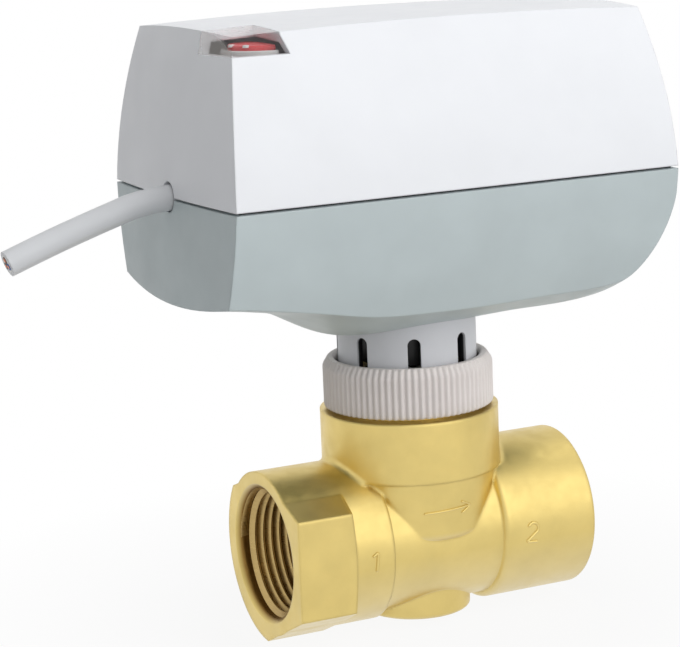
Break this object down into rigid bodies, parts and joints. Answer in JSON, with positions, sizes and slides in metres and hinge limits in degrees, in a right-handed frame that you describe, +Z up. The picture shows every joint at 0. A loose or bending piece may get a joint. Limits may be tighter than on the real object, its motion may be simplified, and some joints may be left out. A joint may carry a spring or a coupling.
{
  "type": "two-way zone valve",
  "caption": "Brass two-way seat valve with female pipe threads and a clip-on motor actuator that pushes its stem through a gear train and a spindle.",
  "frame": {"origin": "the point on the inlet port's axis where its thread starts, 0.9 mm inside the end face with the wrench hexagon", "axes": "+X along the pipe from the inlet to the outlet, -Y to the front, +Z up along the valve stem"},
  "size_m": [0.1304, 0.0612, 0.1239],
  "materials": {
    "cast_brass": "satin cast and machined brass",
    "turned_brass": "turned brass",
    "steel": "brushed",
    "zinc_screw": "bright zinc plated",
    "rubber": "matte",
    "nut_plastic": "warm light grey, satin",
    "collar_plastic": "cool grey, satin",
    "base_plastic": "grey green, fine texture",
    "cover_plastic": "white, fine texture",
    "window_plastic": "smoky clear",
    "gear_plastic": "natural white",
    "red_plastic": "signal red",
    "white_plastic": "white",
    "motor_can": "zinc grey",
    "board": "green solder mask",
    "terminal_plastic": "green",
    "black_plastic": "matte black",
    "cable_pvc": "light grey sheath"
  },
  "bodies": {
    "valve_and_actuator": {"valve_body": "cast_brass", "valve_bonnet": "turned_brass", "bonnet_o_ring": "rubber", "stem_o_ring": "rubber", "valve_spring": "steel", "coupling_collar": "collar_plastic", "collar_screws": "zinc_screw", "lower_housing": "base_plastic", "upper_cover": "cover_plastic", "indicator_window": "window_plastic", "guide_bush": "black_plastic", "compound_axle": "steel", "idler_axle": "steel", "motor_case": "motor_can", "lower_gear_plate": "steel", "upper_gear_plate": "steel", "spacer_posts": "steel", "post_screws": "zinc_screw", "frame_screws": "zinc_screw", "circuit_board": "board", "terminal_block": "terminal_plastic", "capacitor": "black_plastic", "travel_switches": "black_plastic", "strain_relief": "rubber", "cable_clamp": "black_plastic", "cable": "cable_pvc"},
    "stem": {"valve_stem": "steel", "valve_plug": "turned_brass", "plug_seal": "rubber", "plug_nut": "steel", "spring_retainer": "turned_brass"},
    "union_nut": {"coupling_nut": "nut_plastic"},
    "spindle": {"plunger": "steel"},
    "output_wheel": {"output_gear": "gear_plastic", "switch_cam": "black_plastic"},
    "reduction_wheel": {"compound_gear": "gear_plastic"},
    "idler_wheel": {"idler_gear": "gear_plastic"},
    "indicator": {"indicator_gear": "gear_plastic", "indicator_red": "red_plastic", "indicator_white": "white_plastic"},
    "motor_drive": {"motor_shaft": "steel", "motor_pinion": "turned_brass"}
  },
  "joints": [
    {"name": "plunger_slide", "type": "slide", "parent": "valve_and_actuator", "child": "spindle", "axis": [0, 0, -1], "range_m": [0, 0.0025]},
    {"name": "stem_slide", "type": "slide", "parent": "valve_and_actuator", "child": "stem", "axis": [0, 0, -1], "range_m": [0, 0.00252], "deforming": ["valve_spring"]},
    {"name": "output_turn", "type": "hinge", "parent": "valve_and_actuator", "child": "output_wheel", "pos_m": [0.0327, 0, 0.08], "axis": [0, 0, 1], "range_deg": [0, 113.5]},
    {"name": "reduction_turn", "type": "hinge", "parent": "valve_and_actuator", "child": "reduction_wheel", "pos_m": [0.04814, 0.00925, 0.08], "axis": [0, 0, 1], "range_deg": [-451, 0]},
    {"name": "motor_turn", "type": "hinge", "parent": "valve_and_actuator", "child": "motor_drive", "pos_m": [0.0607, 0, 0.08], "axis": [0, 0, 1], "range_deg": [0, 1501]},
    {"name": "idler_turn", "type": "hinge", "parent": "valve_and_actuator", "child": "idler_wheel", "pos_m": [0.0093, -0.00024, 0.08], "axis": [0, 0, 1], "range_deg": [-181, 0]},
    {"name": "indicator_turn", "type": "hinge", "parent": "valve_and_actuator", "child": "indicator", "pos_m": [-0.0023, -0.014, 0.08], "axis": [0, 0, 1], "range_deg": [0, 181]},
    {"name": "nut_turn", "type": "hinge", "parent": "valve_and_actuator", "child": "union_nut", "pos_m": [0.0327, 0, 0.03], "axis": [0, 0, 1], "continuous": true}
  ],
  "couplings": [
    {"joint": "stem_slide", "follows": "plunger_slide", "ratio": 1},
    {"joint": "output_turn", "follows": "plunger_slide", "rad_per_m": 785.4},
    {"joint": "reduction_turn", "follows": "plunger_slide", "rad_per_m": -3141.6},
    {"joint": "motor_turn", "follows": "plunger_slide", "rad_per_m": 10472},
    {"joint": "idler_turn", "follows": "plunger_slide", "rad_per_m": -1256.6},
    {"joint": "indicator_turn", "follows": "plunger_slide", "rad_per_m": 1256.6}
  ]
}
